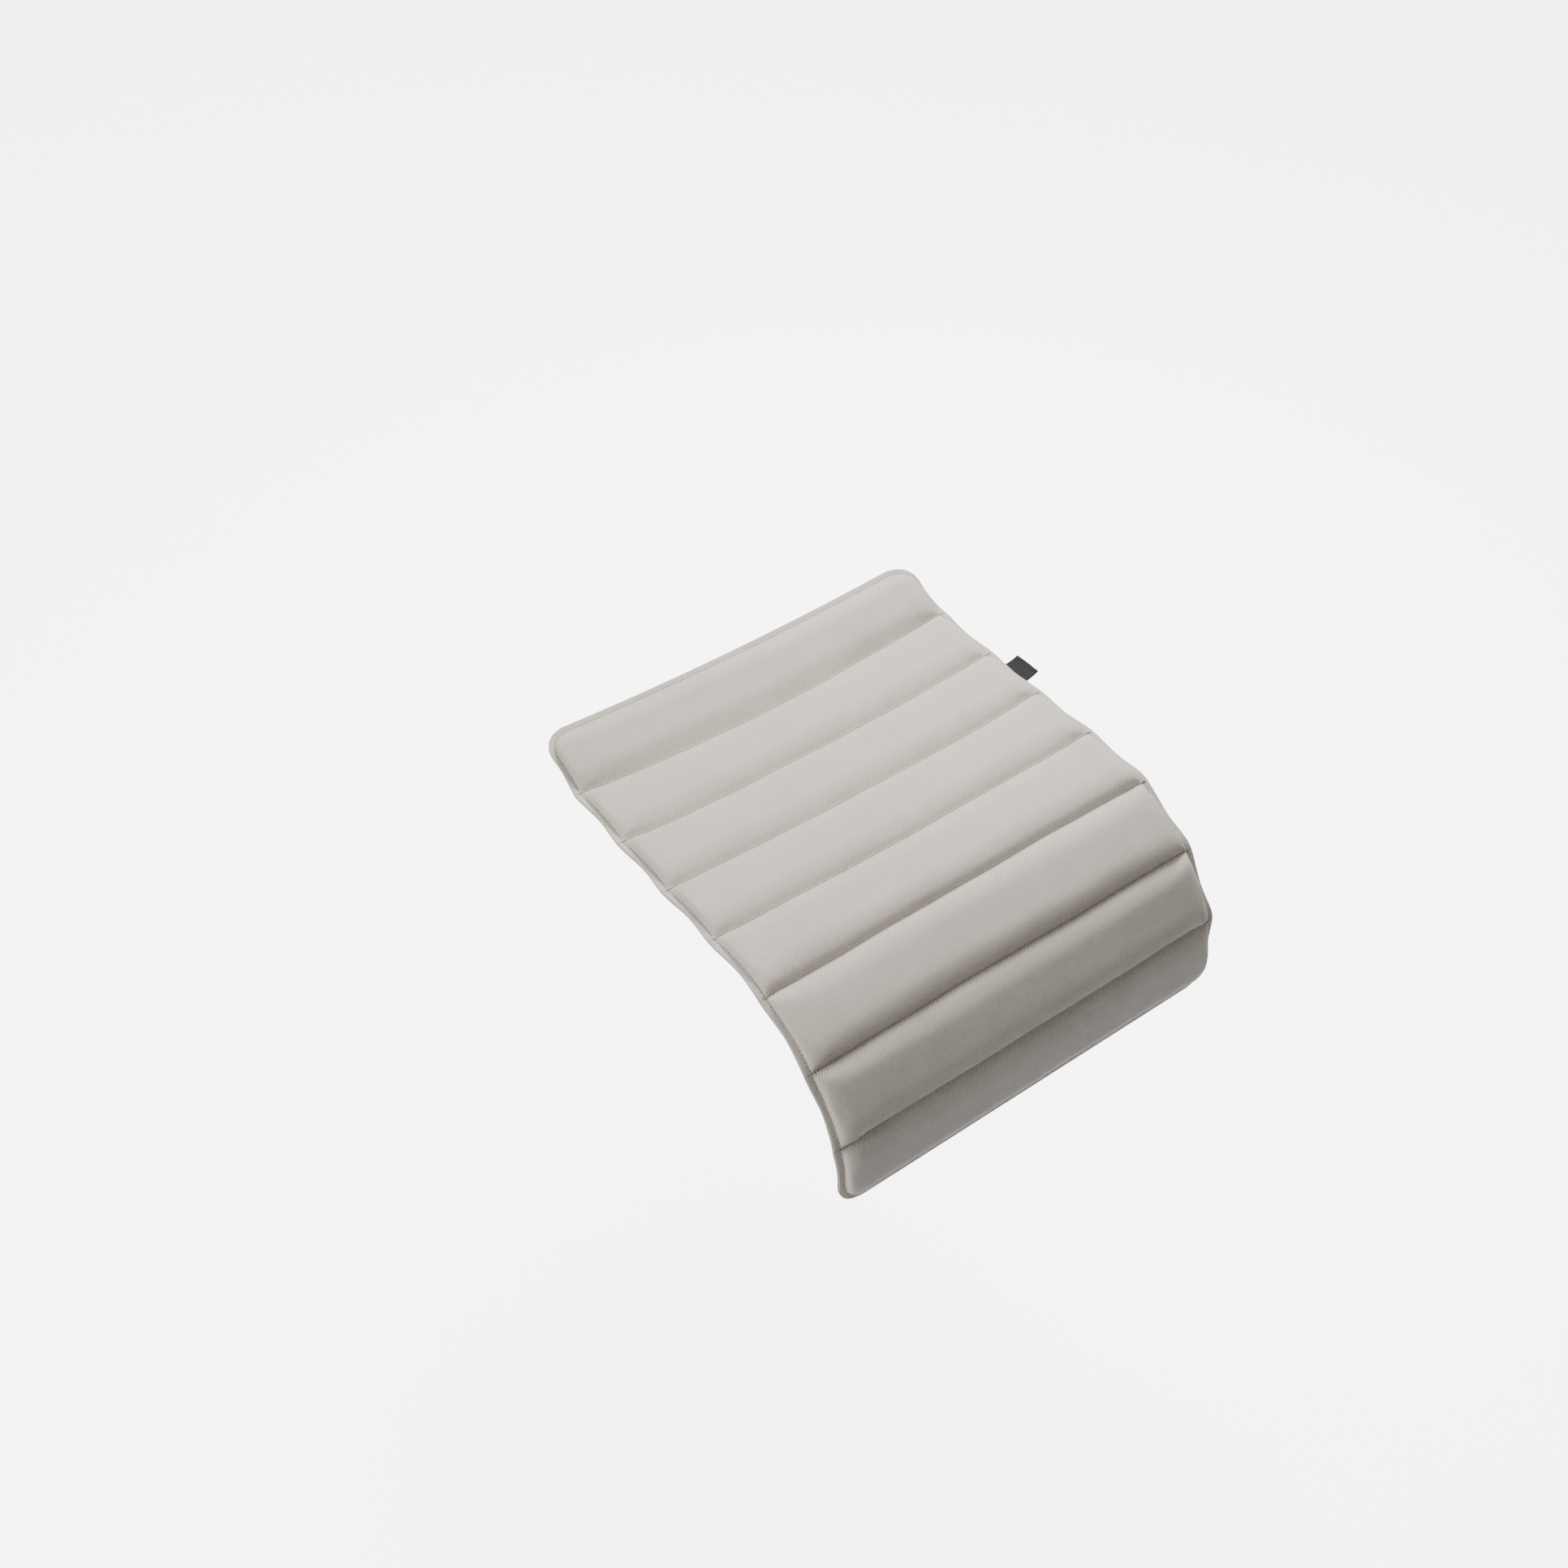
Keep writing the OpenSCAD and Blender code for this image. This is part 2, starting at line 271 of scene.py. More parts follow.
def wandered(points):
    """Small sewing errors: seams that wander, and channels that aren't quite even."""
    x, s, n = points[..., 0], points[..., 1], points[..., 2]
    inside = np.clip(np.minimum(s, PAD_L - s) / REAR_LEN, 0, 1)
    drift = np.sin(17 * x + 31 * s + 0.4)
    drift += 0.6 * np.sin(39 * x - 23 * s + 1.9)
    drift += 0.3 * np.sin(83 * x + 55 * s)
    swell = np.sin(29 * x + 71 * s) * np.sin(47 * x - 53 * s + 1.1)
    swell += 0.5 * np.sin(101 * x + 37 * s + 2.0)
    return np.stack([x, s + SEAM_DRIFT * inside * drift, n * (1 + SWELL * swell)], -1)


def lay(points):
    """Points of the flat pad, with its sewing errors, in the frame of the CAD."""
    return lay_raw(wandered(points)) - ORIGIN


# ---- The grid of points that both covers and the foam share ----
COLUMNS = 101
COLUMN_EASE = 0.6
ROWS_IN_CHANNEL = 17
ROW_EASE = 0.8


def half_width(s, inset):
    """Half the pad's width at s, with its round corners, inside an inset."""
    from_end = np.minimum(s, PAD_L - s)
    r = CORNER_R - inset
    round_part = STRAIGHT_W + np.sqrt(np.maximum(0, r * r - (CORNER_R - from_end) ** 2))
    return np.where(from_end >= CORNER_R, PAD_W / 2 - inset, round_part)


def eased(t, share):
    """0 to 1 in steps that are finer near both ends."""
    return share * (1 - np.cos(np.pi * t)) / 2 + (1 - share) * t


def make_field():
    """The [x, s] of every grid point, and the channel of every row."""
    part = eased(np.linspace(0, 1, ROWS_IN_CHANNEL), ROW_EASE)
    rows, of_row = [], []
    for k in range(1, CHANNELS + 1):
        low, high = channel_ends(k, SEAM_FLAT)
        rows.extend(low + part * (high - low))
        of_row.extend([k] * ROWS_IN_CHANNEL)
    rows = np.array(rows)
    across = 2 * eased(np.linspace(0, 1, COLUMNS), COLUMN_EASE) - 1
    x = half_width(rows, FIELD_IN)[:, None] * across[None, :]
    return np.stack([x, np.repeat(rows[:, None], COLUMNS, 1)], -1), np.array(of_row)


FIELD, ROW_CHANNEL = make_field()
ROWS = len(FIELD)


def rim_index(rows, columns):
    """Positions round a grid's rim, in order, as (row, column) arrays."""
    i = ([0] * (columns - 1) + list(range(rows - 1))
         + [rows - 1] * (columns - 1) + list(range(rows - 1, 0, -1)))
    j = (list(range(columns - 1)) + [columns - 1] * (rows - 1)
         + list(range(columns - 1, 0, -1)) + [0] * (rows - 1))
    return np.array(i), np.array(j)


RIM = rim_index(ROWS, COLUMNS)


def outward(points):
    """Direction out of the outline, at points [x, s] near it."""
    x, s = points[..., 0], points[..., 1]
    away = np.stack([x - np.clip(x, -STRAIGHT_W, STRAIGHT_W),
                     s - np.clip(s, CORNER_R, PAD_L - CORNER_R)], -1)
    return away / np.linalg.norm(away, axis=-1, keepdims=True)


RIM_OUT = outward(FIELD[RIM])


def from_side(x, s):
    """Distance in from the nearer side of the quilted field."""
    return np.maximum(0, half_width(s, FIELD_IN) - np.abs(x))


def base(x, s):
    """Height of the cover's outer face at a seam: the hem's level, closing further in."""
    depth = np.minimum(from_side(x, s), np.minimum(s - FIELD_IN, PAD_L - FIELD_IN - s))
    closed = np.clip((depth - HEM_HOLD) / SEAM_CLOSE, 0, 1)
    closed = closed * closed * (3 - 2 * closed)
    return HEM_HI + (SEAM_N - HEM_HI) * closed


def dome(t, power):
    """0 to 1 as t goes from 0 to 1: a quarter circle where power is 0.5."""
    return (1 - (1 - np.clip(t, 0, 1)) ** 2) ** power


def first_puff():
    """How far each grid point stands above its seams before the simulation, 0 to 1.
    The foam keeps a channel's top flat between its rounded shoulders."""
    x, s = FIELD[..., 0], FIELD[..., 1]
    ends = np.array([channel_ends(k, SEAM_FLAT) for k in ROW_CHANNEL])
    low, high = ends[:, :1], ends[:, 1:]
    middle = dome(np.minimum(s - low, high - s) / ((high - low) / 2), 1)
    shoulders = (dome((s - low) / SHOULDER_BACK, BACK_POWER)
                 * dome((high - s) / SHOULDER_FRONT, FRONT_POWER))
    foot = np.clip(np.minimum(s - low, high - s) / SEAM_FOOT, 0, 1) ** FOOT_POWER
    along = ((1 - CROWNED) * shoulders + CROWNED * middle) * foot
    return along * dome(from_side(x, s) / END_ROUND, END_POWER)


# ---- Cloth simulation of the two covers ----
def grid_faces(rows, columns, offset, flipped):
    """Quads of a grid whose vertices are numbered by row, starting at offset."""
    i, j = np.meshgrid(np.arange(rows - 1), np.arange(columns - 1), indexing="ij")
    a = offset + i * columns + j
    quads = np.stack([a, a + columns, a + columns + 1, a + 1], -1).reshape(-1, 4)
    return quads[:, ::-1] if flipped else quads


def ring_faces(outer, inner):
    """Quads between two closed rings of vertex numbers."""
    return np.stack([outer, np.roll(outer, -1), np.roll(inner, -1), inner], -1)


def mesh_object(name, points, faces):
    """A new object in the scene; faces is a list, and points any array of [x, y, z]."""
    mesh = bpy.data.meshes.new(name)
    mesh.from_pydata(np.asarray(points).reshape(-1, 3).tolist(), [], faces)
    mesh.update()
    obj = bpy.data.objects.new(name, mesh)
    bpy.context.scene.collection.objects.link(obj)
    return obj


def store_weave(mesh, weave):
    """Keeps each point's place on the unpuffed cloth, for the materials."""
    store = mesh.attributes.new("weave", "FLOAT_VECTOR", "POINT")
    store.data.foreach_set("vector", np.ascontiguousarray(weave, dtype=np.float32).ravel())


def mesh_points(mesh):
    """A mesh's vertices, as an array of [x, y, z]."""
    flat = np.empty(len(mesh.vertices) * 3)
    mesh.vertices.foreach_get("co", flat)
    return flat.reshape(-1, 3)


def pattern(level, fullness):
    """The cover as it was cut: flat, and longer than the pad by its fullness."""
    s = FIELD[:, :1, 1]
    steps = np.diff(s[:, 0], prepend=s[0, 0])
    in_channel = np.diff(ROW_CHANNEL, prepend=ROW_CHANNEL[0]) == 0
    cut_s = s[0, 0] + np.cumsum(steps * np.where(in_channel, fullness, 1))
    flat = np.concatenate([FIELD, np.full((ROWS, COLUMNS, 1), level)], -1)
    flat[..., 1] = cut_s[:, None]
    return flat


def seam_points():
    """Numbers of the grid points that lie on a seam, or on the field's back or front."""
    at_seam = np.zeros((ROWS, COLUMNS), bool)
    at_seam[[0, -1]] = True
    at_seam[1:][np.diff(ROW_CHANNEL) > 0] = True
    at_seam[:-1][np.diff(ROW_CHANNEL) > 0] = True
    return np.flatnonzero(at_seam)


def add_cloth(obj, pins, cut):
    """Cloth that swells under pressure, held at its pins, towards the shape it was cut to."""
    cloth = obj.modifiers.new("Cloth", "CLOTH")
    settings = cloth.settings
    settings.quality = 5
    settings.mass = 0.03
    settings.tension_stiffness = 40
    settings.compression_stiffness = 40
    settings.shear_stiffness = 15
    settings.bending_stiffness = 0.5
    settings.air_damping = 1
    settings.use_pressure = True
    settings.uniform_pressure_force = 3
    settings.effector_weights.gravity = 0
    settings.vertex_group_mass = pins.name
    settings.rest_shape_key = cut
    cloth.collision_settings.use_collision = False
    cloth.collision_settings.use_self_collision = False
    cloth.point_cache.frame_start = 1
    cloth.point_cache.frame_end = SIM_FRAMES


def simulate(top, under):
    """Inflates the two covers, which are joined at their rim, with every seam held still."""
    size = ROWS * COLUMNS
    rim = RIM[0] * COLUMNS + RIM[1]
    faces = np.concatenate([
        grid_faces(ROWS, COLUMNS, 0, True),
        grid_faces(ROWS, COLUMNS, size, False),
        ring_faces(rim, rim + size),
    ])
    points = np.concatenate([top.reshape(-1, 3), under.reshape(-1, 3)]) * SIM_SCALE
    obj = mesh_object("pillow", points, faces.tolist())
    obj.shape_key_add(name="start")
    cut = obj.shape_key_add(name="cut")
    flat = np.concatenate([pattern(HEM_HI, TOP_FULLNESS), pattern(-HEM_HI, UNDER_FULLNESS)])
    cut.data.foreach_set("co", (flat * SIM_SCALE).ravel())
    held = seam_points()
    pins = obj.vertex_groups.new(name="pins")
    pins.add(np.concatenate([held, held + size]).tolist(), 1.0, "REPLACE")
    add_cloth(obj, pins, cut)
    for number in range(1, SIM_FRAMES + 1):
        bpy.context.scene.frame_set(number)
    depsgraph = bpy.context.evaluated_depsgraph_get()
    moved = mesh_points(obj.evaluated_get(depsgraph).data) / SIM_SCALE
    bpy.context.scene.frame_set(1)
    bpy.data.objects.remove(obj, do_unlink=True)
    return moved[:size].reshape(ROWS, COLUMNS, 3), moved[size:].reshape(ROWS, COLUMNS, 3)


def capped(move, most):
    """Moves that keep their direction and level off at the length most."""
    far = np.linalg.norm(move, axis=-1, keepdims=True)
    return move * np.tanh(far / most) / np.maximum(far / most, 1e-9)


def puffed_covers():
    """The outer faces of the top and bottom covers, on the flat pad."""
    level = base(FIELD[..., 0], FIELD[..., 1])[..., None]
    puff = first_puff()[..., None]
    top = np.concatenate([FIELD, level + START_PUFF * CROWN_TOP * puff], -1)
    under = np.concatenate([FIELD, -level - CROWN_UNDER * puff], -1)
    top_moved, under_moved = simulate(top, under)
    top = top + capped(top_moved - top, MOST_PUFF)
    under = under + capped(under_moved - under, MOST_PUFF)
    return top, under


def finished_covers():
    """The simulated faces, with one common rim and a belly that the seat keeps flat."""
    top, under = puffed_covers()
    x, s = FIELD[..., 0], FIELD[..., 1]
    under[..., 2] = np.maximum(under[..., 2], -base(x, s) - CROWN_UNDER)
    ends = np.array([channel_ends(k, 0) for k in ROW_CHANNEL])
    low = np.where(ROW_CHANNEL == 1, 0, ends[:, 0])[:, None]
    high = np.where(ROW_CHANNEL == CHANNELS, PAD_L, ends[:, 1])[:, None]
    across = np.sin(np.pi * (s - low) / (high - low)) ** 2
    near_side = np.exp(-(from_side(x, s) / SCALLOP_FADE) ** 2)
    pull = -np.sign(x) * SCALLOP * across * near_side
    over = OVERHANG * across * np.sin(np.pi * np.clip(from_side(x, s) / OVERHANG_LEN, 0, 1))
    top[..., 0] += pull + np.sign(x) * over
    under[..., 0] += pull
    rim = (top[RIM] + under[RIM]) / 2
    rim[:, 2] = HEM_HI
    top[RIM] = rim
    under[RIM] = rim * [1, 1, -1]
    return top, under


top_face, under_face = finished_covers()


# ---- Solids ----
def face_normals(face, side):
    """Unit normals out of a cover on the flat pad, and straight up or down at its rim."""
    down = np.gradient(face, axis=0)
    right = np.gradient(face, axis=1)
    normal = np.cross(right, down)
    normal *= side / np.linalg.norm(normal, axis=-1, keepdims=True) * np.sign(normal[..., 2:])
    normal[RIM] = [0, 0, side]
    return normal


def solid(name, outer, inner, loops, weave, levels=1):
    """A closed solid from an outer and an inner grid, joined through loops of points."""
    rows, columns = outer.shape[:2]
    size = rows * columns
    i, j = rim_index(rows, columns)
    rim = i * columns + j
    rings = [rim] + [2 * size + len(rim) * m + np.arange(len(rim)) for m in range(len(loops))]
    rings.append(rim + size)
    faces = [grid_faces(rows, columns, 0, False), grid_faces(rows, columns, size, True)]
    faces += [ring_faces(a, b) for a, b in zip(rings, rings[1:])]
    points = np.concatenate([outer.reshape(-1, 3), inner.reshape(-1, 3)] + loops)
    return finish_mesh(name, points, np.concatenate(faces), weave, levels)


def finish_mesh(name, points, faces, weave, levels):
    """Lays a flat pad's mesh on the seat, with its cloth coordinates and smooth faces."""
    obj = mesh_object(name, lay(points), faces.tolist())
    mesh = obj.data
    edit = bmesh.new()
    edit.from_mesh(mesh)
    bmesh.ops.recalc_face_normals(edit, faces=edit.faces)
    edit.to_mesh(mesh)
    edit.free()
    mesh.shade_smooth()
    store_weave(mesh, weave)
    if levels:
        smooth = obj.modifiers.new("Smooth", "SUBSURF")
        smooth.levels = levels
        smooth.render_levels = levels
    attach(obj, "root")
    return obj


def flat_only(points):
    """Cloth coordinates: where each point lies on the cloth before it was puffed."""
    return np.concatenate([points[..., :2], np.zeros(points.shape[:-1] + (1,))], -1)


def hem_profile():
    """The hem's (distance out, height), from the top of the hem round its fold and in."""
    fold = [(FIELD_IN - FOLD_R + FOLD_R * math.sin(a), TURN_LO + FOLD_R + FOLD_R * math.cos(a))
            for a in np.linspace(0, math.pi, 6)]
    inside = FIELD_IN - CLOTH_T - PLY_GAP - FOLD_ROOM
    return [(STITCH_OUT / 2, HEM_HI), (STITCH_OUT, HEM_HI - STITCH_DIP), (DIP_END, HEM_HI),
            *fold, (0, TURN_LO), (-TURN_IN, TURN_LO), (-TURN_IN, TURN_HI), (0, TURN_HI),
            (inside, TURN_HI), (inside, HEM_LO)]


def cover(name, face, side, node):
    """One cover: its puffed face, its hem turned in all round, and its thickness."""
    inner = face - face_normals(face, side) * CLOTH_T
    rim = face[RIM]
    cut_rim = FIELD[RIM]
    loops, marks = [], []
    run, before = 0, (0, HEM_HI)
    for out, height in hem_profile():
        run += math.dist(before, (out, height))
        before = (out, height)
        level = np.full((len(rim), 1), side * height)
        loops.append(np.concatenate([rim[:, :2] + RIM_OUT * out, level], -1))
        marks.append(flat_only(cut_rim + RIM_OUT * run))
    cut = flat_only(FIELD).reshape(-1, 3)
    weave = np.concatenate([cut, cut] + marks)
    obj = solid(name, face, inner, loops, weave)
    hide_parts(node)
    return obj


def foam_strip(k):
    """The foam of channel k, with its cut edges just inside the seams and the hem."""
    rows = [r for r in np.flatnonzero(ROW_CHANNEL == k)[1:-1]
            if min(FIELD[r, 0, 1], PAD_L - FIELD[r, 0, 1]) - FIELD_IN > TURN_IN + FOAM_GAP]
    columns = np.flatnonzero(np.abs(FIELD[ROWS // 2, :, 0]) < PAD_W / 2 - FIELD_IN - TURN_IN - FOAM_GAP)
    pick = np.ix_(rows, columns)
    away = CLOTH_T + FOAM_GAP
    upper = (top_face - face_normals(top_face, 1) * away)[pick]
    lower = (under_face - face_normals(under_face, -1) * away)[pick]
    cut = flat_only(FIELD[pick])
    weave = np.concatenate([cut.reshape(-1, 3), cut.reshape(-1, 3)])
    obj = solid(f"foam_{k}", upper, lower, [], weave, levels=0)
    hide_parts(f"foam_strip_{k}")
    return obj


# ---- Threads ----
RNG = np.random.default_rng(7)


def thread(name, paths, radius, node):
    """One piece of many short stitches; paths is [stitch, point, (x, s, n)]."""
    middle = lay(paths)
    up = lay(paths + np.array([0, 0, 0.0001])) - middle
    up /= np.linalg.norm(up, axis=-1, keepdims=True)
    along = np.gradient(middle, axis=1)
    along /= np.linalg.norm(along, axis=-1, keepdims=True)
    beside = np.cross(along, up)
    count, length = paths.shape[:2]
    swell = np.sin(np.pi * np.linspace(0, 1, length)) ** 0.5
    taper = radius * (THREAD_TIP + (1 - THREAD_TIP) * swell)
    rings = []
    for angle in np.linspace(0, 2 * np.pi, THREAD_SIDES, endpoint=False):
        turn = math.cos(angle) * beside + math.sin(angle) * up
        rings.append(middle + turn * taper[None, :, None])
    points = np.stack(rings, 2)
    number = np.arange(points[..., 0].size).reshape(count, length, THREAD_SIDES)
    a, b = number[:, :-1], number[:, 1:]
    skin = np.stack([a, np.roll(a, -1, 2), np.roll(b, -1, 2), b], -1).reshape(-1, 4)
    ends = number[:, 0, ::-1].tolist() + number[:, -1].tolist()
    obj = mesh_object(name, points, skin.tolist() + ends)
    obj.data.shade_smooth()
    run = np.broadcast_to(np.linspace(0, STITCH_LEN, length)[None, :, None], number.shape)
    turn = np.broadcast_to(np.arange(THREAD_SIDES) / THREAD_SIDES, number.shape)
    which = np.broadcast_to(np.arange(count)[:, None, None], number.shape)
    store_weave(obj.data, np.stack([run, turn, which], -1))
    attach(obj, "root")
    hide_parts(node)
    dress(obj, THREAD)


def plunge(points):
    """How high a stitch rides along its length, as a share of the thread's radius."""
    t = np.linspace(-1, 1, points)
    return THREAD_RISE - THREAD_SINK * np.abs(t) ** 4


def quilt_stitches(k, side):
    """The stitches of seam k from edge to edge, doubled where it is locked at its ends."""
    reach = PAD_W / 2 - SEAM_END
    count = int(2 * reach / STITCH)
    centres = (np.arange(count) - (count - 1) / 2) * STITCH
    locked = centres[np.abs(centres) > reach - LOCK_LEN]
    x_mid = np.concatenate([centres, locked + STITCH / 3])
    off = np.concatenate([np.zeros(count), np.full(len(locked), LOCK_OFF)])
    off = off - STITCH_BACK + RNG.normal(0, STITCH_STRAY, len(x_mid))
    lengths = STITCH_LEN * RNG.uniform(1 - LENGTH_SPREAD, 1 + LENGTH_SPREAD, len(x_mid))
    tilt = RNG.normal(STITCH_TILT * side, TILT_SPREAD, len(x_mid))
    t = np.linspace(-0.5, 0.5, STITCH_POINTS)
    x = x_mid[:, None] + lengths[:, None] * t
    s = seam_s(k) + off[:, None] + lengths[:, None] * t * tilt[:, None]
    x = np.clip(x, -PAD_W / 2, PAD_W / 2)
    height = base(x, np.full_like(x, seam_s(k))) + THREAD_R * plunge(STITCH_POINTS)
    return np.stack([x, s, side * height], -1)


def rim_path(out):
    """The rim moved outwards, as its running length, its points and its full length."""
    points = top_face[RIM][:, :2] + RIM_OUT * out
    closed = np.concatenate([points, points[:1]])
    run = np.concatenate([[0], np.cumsum(np.linalg.norm(np.diff(closed, axis=0), axis=1))])
    return run, closed, run[-1]


def edge_stitches(out, length, height):
    """Stitches all round the hem, at one distance out of the field."""
    run, points, full = rim_path(out)
    count = round(full / STITCH)
    centre = (np.arange(count) + 0.5) * full / count
    t = np.linspace(-0.5, 0.5, STITCH_POINTS)
    at = (centre[:, None] + length * t) % full
    x = np.interp(at, run, points[:, 0])
    s = np.interp(at, run, points[:, 1]) + RNG.normal(0, STITCH_STRAY, count)[:, None]
    return np.stack([x, s, np.broadcast_to(height, x.shape)], -1)


def label_place():
    """Where the label leaves the hem: its middle along the edge, and the edge's x there."""
    low, high = channel_ends(LABEL_CHANNEL, 0)
    middle = (low + high) / 2
    right = np.flatnonzero(RIM[1] == COLUMNS - 1)
    rim = top_face[RIM][right]
    return middle, np.interp(middle, rim[:, 1], rim[:, 0]) + FIELD_IN


# ---- Side label ----
def side_label():
    """A tape folded in half: its ends lie in the hem and its fold stands out."""
    middle, edge = label_place()
    tip = LABEL_OUT - LABEL_BULB
    ply = LABEL_T / 2 - LABEL_PLY / 2
    lower = [(u, -ply - (LABEL_BULB - ply) * max(0, u / tip) ** 6)
             for u in np.linspace(-LABEL_TAIL, tip, 16)]
    fold = [(tip + LABEL_BULB * math.sin(a), -LABEL_BULB * math.cos(a))
            for a in np.linspace(0, math.pi, 7)[1:-1]]
    upper = [(u, -v) for u, v in reversed(lower)]
    path = np.array(lower + fold + upper)
    ahead = np.gradient(path, axis=0)
    ahead /= np.linalg.norm(ahead, axis=1, keepdims=True)
    side = np.stack([-ahead[:, 1], ahead[:, 0]], -1)
    across = np.linspace(-0.5, 0.5, 13)
    run = np.concatenate([[0], np.cumsum(np.linalg.norm(np.diff(path, axis=0), axis=1))])

    def ply_grid(offset):
        line = path + side * offset
        u = np.repeat(line[:, :1], len(across), 1)
        out = np.maximum(0, u) / LABEL_OUT
        n = line[:, 1:] + LABEL_RISE * out ** 2 * (1 + LABEL_TWIST * across)
        n += LABEL_WAVE * out * np.cos(3 * across)
        s = middle + LABEL_W * across * (1 - LABEL_TAPER * out)
        return np.stack([edge + u, s, n], -1)

    weave = flat_only(np.stack([np.repeat(run[:, None], len(across), 1),
                                np.repeat(across[None] * LABEL_W, len(run), 0)], -1)).reshape(-1, 3)
    obj = solid("label", ply_grid(LABEL_PLY / 2), ply_grid(-LABEL_PLY / 2), [],
                np.concatenate([weave, weave]))
    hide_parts("side_label")
    return obj


# ---- Materials ----
class Shader:
    """Short ways to add nodes to one material."""

    def __init__(self, name, roughness, sheen=0.0, sheen_roughness=0.5, specular=0.5):
        self.material = bpy.data.materials.new(name)
        self.material.use_nodes = True
        self.tree = self.material.node_tree
        self.surface = self.tree.nodes["Principled BSDF"]
        self.surface.inputs["Roughness"].default_value = roughness
        self.surface.inputs["Sheen Weight"].default_value = sheen
        self.surface.inputs["Sheen Roughness"].default_value = sheen_roughness
        self.surface.inputs["Specular IOR Level"].default_value = specular
        self.cloth = self.node("ShaderNodeAttribute", attribute_name="weave").outputs["Vector"]
        self.place = self.node("ShaderNodeTexCoord").outputs["Object"]

    def node(self, kind, inputs=None, **settings):
        node = self.tree.nodes.new(kind)
        for name, value in settings.items():
            setattr(node, name, value)
        for name, value in (inputs or {}).items():
            if isinstance(value, bpy.types.NodeSocket):
                self.tree.links.new(value, node.inputs[name])
            else:
                node.inputs[name].default_value = value
        return node

    def math(self, operation, a, b=0.0, c=0.0):
        return self.node("ShaderNodeMath", {0: a, 1: b, 2: c}, operation=operation).outputs[0]

    def noise(self, vector, scale, detail=2.0):
        inputs = {"Vector": vector, "Scale": scale, "Detail": detail}
        return self.node("ShaderNodeTexNoise", inputs).outputs["Fac"]

    def turned(self, angle):
        """Cloth coordinates turned about their normal, as (along, across)."""
        turn = self.node("ShaderNodeVectorRotate", {"Vector": self.cloth, "Angle": angle},
                         rotation_type="Z_AXIS")
        parts = self.node("ShaderNodeSeparateXYZ", {"Vector": turn.outputs[0]})
        return parts.outputs["X"], parts.outputs["Y"]

    def wave(self, value, pitch):
        """A sine wave from 0 to 1 along a length."""
        swing = self.math("SINE", self.math("MULTIPLY", value, 2 * math.pi / pitch))
        return self.math("MULTIPLY_ADD", swing, 0.5, 0.5)

    def fading(self, distance, reach, field):
        """1 at no distance, and falling away over reach, where field is 1."""
        share = self.math("EXPONENT", self.math("MULTIPLY", distance, -1 / reach))
        return self.math("MULTIPLY", share, field)

    def seam_marks(self):
        """Near a quilting seam: how near it is, which paints shade into the seam's groove, the cloth's
        puckers, and the needle holes, whose dark dots are painted shade.
        """
        parts = self.node("ShaderNodeSeparateXYZ", {"Vector": self.cloth})
        x, s = parts.outputs["X"], parts.outputs["Y"]
        from_seam = self.math("PINGPONG", self.math("SUBTRACT", s, REAR_LEN), PITCH / 2)
        field = self.math("LESS_THAN", self.math("ABSOLUTE", self.math("SUBTRACT", s, PAD_L / 2)),
                          PAD_L / 2 - REAR_LEN * 0.8)
        # nearness to the seam: the cloth is darkened by it as painted shade in the seam's groove
        near = self.fading(from_seam, SHADE_REACH, field)
        wide = self.fading(from_seam, PUCKER_REACH, field)
        slanted = self.math("MULTIPLY_ADD", from_seam, 0.5, x)
        pucker = self.math("MULTIPLY", self.wave(slanted, STITCH), wide)
        # dark dots at the needle holes: painted shade, strongest in the seam's groove
        holes = self.math("POWER", self.wave(self.math("ADD", x, STITCH * 0.75), STITCH), 6.0)
        return near, pucker, self.math("MULTIPLY", holes, self.math("POWER", near, 1.5))

    def ramp(self, value, dark, light):
        mix = self.node("ShaderNodeMix", {"Factor": value}, data_type="RGBA")
        mix.inputs["A"].default_value = (*dark, 1)
        mix.inputs["B"].default_value = (*light, 1)
        return mix.outputs["Result"]

    def darken(self, color, amount, shade):
        """Multiplies a colour towards a shade, by an amount from 0 to 1."""
        mix = self.node("ShaderNodeMix", {"Factor": amount}, data_type="RGBA", blend_type="MULTIPLY")
        self.tree.links.new(color, mix.inputs["A"])
        mix.inputs["B"].default_value = (*shade, 1)
        return mix.outputs["Result"]

    def finish(self, color, height, distance, strength=1.0, roughness=None):
        bump = self.node("ShaderNodeBump",
                         {"Height": height, "Distance": distance, "Strength": strength})
        self.tree.links.new(color, self.surface.inputs["Base Color"])
        self.tree.links.new(bump.outputs["Normal"], self.surface.inputs["Normal"])
        if roughness is not None:
            self.tree.links.new(roughness, self.surface.inputs["Roughness"])
        return self.material


